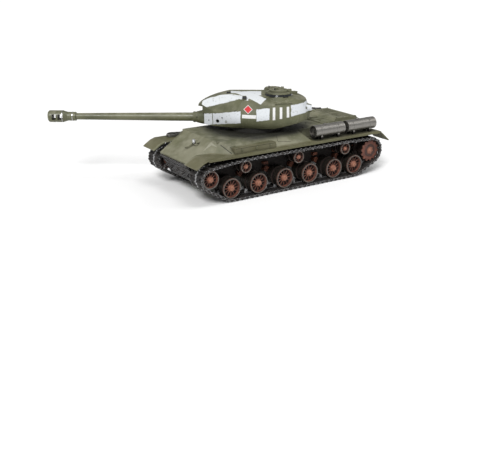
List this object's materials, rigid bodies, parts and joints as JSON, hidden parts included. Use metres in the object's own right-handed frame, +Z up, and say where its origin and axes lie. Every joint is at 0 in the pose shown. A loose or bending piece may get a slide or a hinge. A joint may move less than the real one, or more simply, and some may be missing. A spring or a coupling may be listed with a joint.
{
  "type": "rc tank",
  "caption": "Radio-controlled scale model of a heavy tank with sprung running gear, linked tracks, a powered turret, an elevating long gun, opening hatches and its drive inside.",
  "frame": {"origin": "middle of the belly's flat underside, straight under the turret's axis; the ground is 29 mm lower", "axes": "+X to the front of the hull, +Y to its left side, +Z up"},
  "size_m": [0.5569, 0.3188, 0.1727],
  "materials": {
    "olive_plastic": "matt olive green paint, weathered",
    "olive_metal": "matt olive green paint on metal",
    "track_metal": "blackened metal with worn bright edges",
    "wheel_paint": "rust-brown wash on cast metal, worn steel rim",
    "arm_paint": "dark brown paint",
    "drum_metal": "brushed gunmetal",
    "steel": "plain steel",
    "lamp": "painted bowl with a clear lens",
    "motor": "gearbox casting and motor can",
    "battery_wrap": "shrink-wrapped cells",
    "board": "circuit board",
    "black_plastic": "moulded black plastic",
    "gear_plastic": "natural nylon"
  },
  "bodies": {
    "hull": {"lower_hull": "olive_plastic", "axle_mounts": "arm_paint", "upper_hull": "olive_plastic", "engine_deck": "olive_plastic", "fuel_drums": "drum_metal", "headlight": "lamp", "spare_track_links": "track_metal", "screws": "steel", "drive_units": "motor", "battery_pack": "battery_wrap", "electronics": "board", "traverse_motor": "black_plastic", "left_track": "track_metal", "right_track": "track_metal"},
    "left_sprocket": {"left_sprocket": "wheel_paint"},
    "left_idler": {"left_idler": "wheel_paint"},
    "left_return_roller_1": {"left_return_roller_1": "wheel_paint"},
    "left_return_roller_2": {"left_return_roller_2": "wheel_paint"},
    "left_return_roller_3": {"left_return_roller_3": "wheel_paint"},
    "left_swing_arm_1": {"left_swing_arm_1": "arm_paint"},
    "left_road_wheel_1": {"left_road_wheel_1": "wheel_paint"},
    "left_swing_arm_2": {"left_swing_arm_2": "arm_paint"},
    "left_road_wheel_2": {"left_road_wheel_2": "wheel_paint"},
    "left_swing_arm_3": {"left_swing_arm_3": "arm_paint"},
    "left_road_wheel_3": {"left_road_wheel_3": "wheel_paint"},
    "left_swing_arm_4": {"left_swing_arm_4": "arm_paint"},
    "left_road_wheel_4": {"left_road_wheel_4": "wheel_paint"},
    "left_swing_arm_5": {"left_swing_arm_5": "arm_paint"},
    "left_road_wheel_5": {"left_road_wheel_5": "wheel_paint"},
    "left_swing_arm_6": {"left_swing_arm_6": "arm_paint"},
    "left_road_wheel_6": {"left_road_wheel_6": "wheel_paint"},
    "right_sprocket": {"right_sprocket": "wheel_paint"},
    "right_idler": {"right_idler": "wheel_paint"},
    "right_return_roller_1": {"right_return_roller_1": "wheel_paint"},
    "right_return_roller_2": {"right_return_roller_2": "wheel_paint"},
    "right_return_roller_3": {"right_return_roller_3": "wheel_paint"},
    "right_swing_arm_1": {"right_swing_arm_1": "arm_paint"},
    "right_road_wheel_1": {"right_road_wheel_1": "wheel_paint"},
    "right_swing_arm_2": {"right_swing_arm_2": "arm_paint"},
    "right_road_wheel_2": {"right_road_wheel_2": "wheel_paint"},
    "right_swing_arm_3": {"right_swing_arm_3": "arm_paint"},
    "right_road_wheel_3": {"right_road_wheel_3": "wheel_paint"},
    "right_swing_arm_4": {"right_swing_arm_4": "arm_paint"},
    "right_road_wheel_4": {"right_road_wheel_4": "wheel_paint"},
    "right_swing_arm_5": {"right_swing_arm_5": "arm_paint"},
    "right_road_wheel_5": {"right_road_wheel_5": "wheel_paint"},
    "right_swing_arm_6": {"right_swing_arm_6": "arm_paint"},
    "right_road_wheel_6": {"right_road_wheel_6": "wheel_paint"},
    "battery_hatch": {"battery_hatch": "olive_plastic"},
    "power_switch": {"power_switch": "black_plastic"},
    "turret": {"turret_shell": "olive_plastic", "turret_ring_gear": "black_plastic", "cupola": "olive_plastic", "elevation_motor": "black_plastic"},
    "traverse_pinion": {"traverse_pinion": "gear_plastic"},
    "gun": {"mantlet": "olive_plastic", "gun_barrel": "olive_metal", "muzzle_brake": "olive_metal"},
    "commander_hatch": {"commander_hatch": "olive_metal"},
    "loader_hatch": {"loader_hatch": "olive_metal"}
  },
  "joints": [
    {"name": "left_sprocket_spin", "type": "hinge", "parent": "hull", "child": "left_sprocket", "pos_m": [-0.2016, 0.0756, 0.0156], "axis": [0, 1, 0], "continuous": true},
    {"name": "left_idler_spin", "type": "hinge", "parent": "hull", "child": "left_idler", "pos_m": [0.1502, 0.0756, 0.0161], "axis": [0, 1, 0], "continuous": true},
    {"name": "left_return_roller_1_spin", "type": "hinge", "parent": "hull", "child": "left_return_roller_1", "pos_m": [0.0784, 0.0756, 0.0275], "axis": [0, 1, 0], "continuous": true},
    {"name": "left_return_roller_2_spin", "type": "hinge", "parent": "hull", "child": "left_return_roller_2", "pos_m": [-0.0336, 0.0756, 0.0275], "axis": [0, 1, 0], "continuous": true},
    {"name": "left_return_roller_3_spin", "type": "hinge", "parent": "hull", "child": "left_return_roller_3", "pos_m": [-0.141, 0.0756, 0.0275], "axis": [0, 1, 0], "continuous": true},
    {"name": "left_swing_arm_1_pivot", "type": "hinge", "parent": "hull", "child": "left_swing_arm_1", "pos_m": [0.126, 0.05, 0.0064], "axis": [0, 1, 0], "range_deg": [0, 12], "stiffness_Nm_per_rad": 0.1, "springref_deg": -28.65},
    {"name": "left_road_wheel_1_spin", "type": "hinge", "parent": "left_swing_arm_1", "child": "left_road_wheel_1", "pos_m": [0.109, 0.0756, -0.00545], "axis": [0, 1, 0], "continuous": true},
    {"name": "left_swing_arm_2_pivot", "type": "hinge", "parent": "hull", "child": "left_swing_arm_2", "pos_m": [0.0704, 0.05, 0.0064], "axis": [0, 1, 0], "range_deg": [0, 12], "stiffness_Nm_per_rad": 0.1, "springref_deg": -28.65},
    {"name": "left_road_wheel_2_spin", "type": "hinge", "parent": "left_swing_arm_2", "child": "left_road_wheel_2", "pos_m": [0.0534, 0.0756, -0.00545], "axis": [0, 1, 0], "continuous": true},
    {"name": "left_swing_arm_3_pivot", "type": "hinge", "parent": "hull", "child": "left_swing_arm_3", "pos_m": [0.0148, 0.05, 0.0064], "axis": [0, 1, 0], "range_deg": [0, 12], "stiffness_Nm_per_rad": 0.1, "springref_deg": -28.65},
    {"name": "left_road_wheel_3_spin", "type": "hinge", "parent": "left_swing_arm_3", "child": "left_road_wheel_3", "pos_m": [-0.0022, 0.0756, -0.00545], "axis": [0, 1, 0], "continuous": true},
    {"name": "left_swing_arm_4_pivot", "type": "hinge", "parent": "hull", "child": "left_swing_arm_4", "pos_m": [-0.0408, 0.05, 0.0064], "axis": [0, 1, 0], "range_deg": [0, 12], "stiffness_Nm_per_rad": 0.1, "springref_deg": -28.65},
    {"name": "left_road_wheel_4_spin", "type": "hinge", "parent": "left_swing_arm_4", "child": "left_road_wheel_4", "pos_m": [-0.0578, 0.0756, -0.00545], "axis": [0, 1, 0], "continuous": true},
    {"name": "left_swing_arm_5_pivot", "type": "hinge", "parent": "hull", "child": "left_swing_arm_5", "pos_m": [-0.0964, 0.05, 0.0064], "axis": [0, 1, 0], "range_deg": [0, 12], "stiffness_Nm_per_rad": 0.1, "springref_deg": -28.65},
    {"name": "left_road_wheel_5_spin", "type": "hinge", "parent": "left_swing_arm_5", "child": "left_road_wheel_5", "pos_m": [-0.1134, 0.0756, -0.00545], "axis": [0, 1, 0], "continuous": true},
    {"name": "left_swing_arm_6_pivot", "type": "hinge", "parent": "hull", "child": "left_swing_arm_6", "pos_m": [-0.1452, 0.05, 0.0064], "axis": [0, 1, 0], "range_deg": [0, 12], "stiffness_Nm_per_rad": 0.1, "springref_deg": -28.65},
    {"name": "left_road_wheel_6_spin", "type": "hinge", "parent": "left_swing_arm_6", "child": "left_road_wheel_6", "pos_m": [-0.1622, 0.0756, -0.00545], "axis": [0, 1, 0], "continuous": true},
    {"name": "right_sprocket_spin", "type": "hinge", "parent": "hull", "child": "right_sprocket", "pos_m": [-0.2016, -0.0756, 0.0156], "axis": [0, 1, 0], "continuous": true},
    {"name": "right_idler_spin", "type": "hinge", "parent": "hull", "child": "right_idler", "pos_m": [0.1502, -0.0756, 0.0161], "axis": [0, 1, 0], "continuous": true},
    {"name": "right_return_roller_1_spin", "type": "hinge", "parent": "hull", "child": "right_return_roller_1", "pos_m": [0.0784, -0.0756, 0.0275], "axis": [0, 1, 0], "continuous": true},
    {"name": "right_return_roller_2_spin", "type": "hinge", "parent": "hull", "child": "right_return_roller_2", "pos_m": [-0.0336, -0.0756, 0.0275], "axis": [0, 1, 0], "continuous": true},
    {"name": "right_return_roller_3_spin", "type": "hinge", "parent": "hull", "child": "right_return_roller_3", "pos_m": [-0.141, -0.0756, 0.0275], "axis": [0, 1, 0], "continuous": true},
    {"name": "right_swing_arm_1_pivot", "type": "hinge", "parent": "hull", "child": "right_swing_arm_1", "pos_m": [0.126, -0.05, 0.0064], "axis": [0, 1, 0], "range_deg": [0, 12], "stiffness_Nm_per_rad": 0.1, "springref_deg": -28.65},
    {"name": "right_road_wheel_1_spin", "type": "hinge", "parent": "right_swing_arm_1", "child": "right_road_wheel_1", "pos_m": [0.109, -0.0756, -0.00545], "axis": [0, 1, 0], "continuous": true},
    {"name": "right_swing_arm_2_pivot", "type": "hinge", "parent": "hull", "child": "right_swing_arm_2", "pos_m": [0.0704, -0.05, 0.0064], "axis": [0, 1, 0], "range_deg": [0, 12], "stiffness_Nm_per_rad": 0.1, "springref_deg": -28.65},
    {"name": "right_road_wheel_2_spin", "type": "hinge", "parent": "right_swing_arm_2", "child": "right_road_wheel_2", "pos_m": [0.0534, -0.0756, -0.00545], "axis": [0, 1, 0], "continuous": true},
    {"name": "right_swing_arm_3_pivot", "type": "hinge", "parent": "hull", "child": "right_swing_arm_3", "pos_m": [0.0148, -0.05, 0.0064], "axis": [0, 1, 0], "range_deg": [0, 12], "stiffness_Nm_per_rad": 0.1, "springref_deg": -28.65},
    {"name": "right_road_wheel_3_spin", "type": "hinge", "parent": "right_swing_arm_3", "child": "right_road_wheel_3", "pos_m": [-0.0022, -0.0756, -0.00545], "axis": [0, 1, 0], "continuous": true},
    {"name": "right_swing_arm_4_pivot", "type": "hinge", "parent": "hull", "child": "right_swing_arm_4", "pos_m": [-0.0408, -0.05, 0.0064], "axis": [0, 1, 0], "range_deg": [0, 12], "stiffness_Nm_per_rad": 0.1, "springref_deg": -28.65},
    {"name": "right_road_wheel_4_spin", "type": "hinge", "parent": "right_swing_arm_4", "child": "right_road_wheel_4", "pos_m": [-0.0578, -0.0756, -0.00545], "axis": [0, 1, 0], "continuous": true},
    {"name": "right_swing_arm_5_pivot", "type": "hinge", "parent": "hull", "child": "right_swing_arm_5", "pos_m": [-0.0964, -0.05, 0.0064], "axis": [0, 1, 0], "range_deg": [0, 12], "stiffness_Nm_per_rad": 0.1, "springref_deg": -28.65},
    {"name": "right_road_wheel_5_spin", "type": "hinge", "parent": "right_swing_arm_5", "child": "right_road_wheel_5", "pos_m": [-0.1134, -0.0756, -0.00545], "axis": [0, 1, 0], "continuous": true},
    {"name": "right_swing_arm_6_pivot", "type": "hinge", "parent": "hull", "child": "right_swing_arm_6", "pos_m": [-0.1452, -0.05, 0.0064], "axis": [0, 1, 0], "range_deg": [0, 12], "stiffness_Nm_per_rad": 0.1, "springref_deg": -28.65},
    {"name": "right_road_wheel_6_spin", "type": "hinge", "parent": "right_swing_arm_6", "child": "right_road_wheel_6", "pos_m": [-0.1622, -0.0756, -0.00545], "axis": [0, 1, 0], "continuous": true},
    {"name": "battery_hatch_hinge", "type": "hinge", "parent": "hull", "child": "battery_hatch", "pos_m": [-0.0782, 0, 0.0014], "axis": [0, 1, 0], "range_deg": [0, 90]},
    {"name": "power_switch_slide", "type": "slide", "parent": "hull", "child": "power_switch", "axis": [1, 0, 0], "range_m": [0, 0.005]},
    {"name": "turret_traverse", "type": "hinge", "parent": "hull", "child": "turret", "pos_m": [0, 0, 0.069], "axis": [0, 0, 1], "continuous": true},
    {"name": "traverse_pinion_spin", "type": "hinge", "parent": "hull", "child": "traverse_pinion", "pos_m": [-0.0525, 0, 0.058], "axis": [0, 0, 1], "continuous": true},
    {"name": "gun_elevation", "type": "hinge", "parent": "turret", "child": "gun", "pos_m": [0.0542, -0.03767, 0.0875], "axis": [-0.5707, -0.8211, 0], "range_deg": [-3, 15]},
    {"name": "commander_hatch_hinge", "type": "hinge", "parent": "turret", "child": "commander_hatch", "pos_m": [-0.04162, 0.04963, 0.1397], "axis": [-0.5707, -0.8211, 0], "range_deg": [0, 100]},
    {"name": "loader_hatch_hinge", "type": "hinge", "parent": "turret", "child": "loader_hatch", "pos_m": [-0.05574, 0.00829, 0.136], "axis": [-0.5707, -0.8211, 0], "range_deg": [0, 100]}
  ],
  "couplings": [
    {"joint": "left_idler_spin", "follows": "left_sprocket_spin", "ratio": 1.468},
    {"joint": "left_return_roller_1_spin", "follows": "left_sprocket_spin", "ratio": 2.0818},
    {"joint": "left_return_roller_2_spin", "follows": "left_sprocket_spin", "ratio": 2.0818},
    {"joint": "left_return_roller_3_spin", "follows": "left_sprocket_spin", "ratio": 2.0818},
    {"joint": "left_road_wheel_1_spin", "follows": "left_sprocket_spin", "ratio": 1.2865},
    {"joint": "left_road_wheel_2_spin", "follows": "left_sprocket_spin", "ratio": 1.2865},
    {"joint": "left_road_wheel_3_spin", "follows": "left_sprocket_spin", "ratio": 1.2865},
    {"joint": "left_road_wheel_4_spin", "follows": "left_sprocket_spin", "ratio": 1.2865},
    {"joint": "left_road_wheel_5_spin", "follows": "left_sprocket_spin", "ratio": 1.2865},
    {"joint": "left_road_wheel_6_spin", "follows": "left_sprocket_spin", "ratio": 1.2865},
    {"joint": "right_idler_spin", "follows": "right_sprocket_spin", "ratio": 1.468},
    {"joint": "right_return_roller_1_spin", "follows": "right_sprocket_spin", "ratio": 2.0818},
    {"joint": "right_return_roller_2_spin", "follows": "right_sprocket_spin", "ratio": 2.0818},
    {"joint": "right_return_roller_3_spin", "follows": "right_sprocket_spin", "ratio": 2.0818},
    {"joint": "right_road_wheel_1_spin", "follows": "right_sprocket_spin", "ratio": 1.2865},
    {"joint": "right_road_wheel_2_spin", "follows": "right_sprocket_spin", "ratio": 1.2865},
    {"joint": "right_road_wheel_3_spin", "follows": "right_sprocket_spin", "ratio": 1.2865},
    {"joint": "right_road_wheel_4_spin", "follows": "right_sprocket_spin", "ratio": 1.2865},
    {"joint": "right_road_wheel_5_spin", "follows": "right_sprocket_spin", "ratio": 1.2865},
    {"joint": "right_road_wheel_6_spin", "follows": "right_sprocket_spin", "ratio": 1.2865},
    {"joint": "traverse_pinion_spin", "follows": "turret_traverse", "ratio": -4}
  ]
}
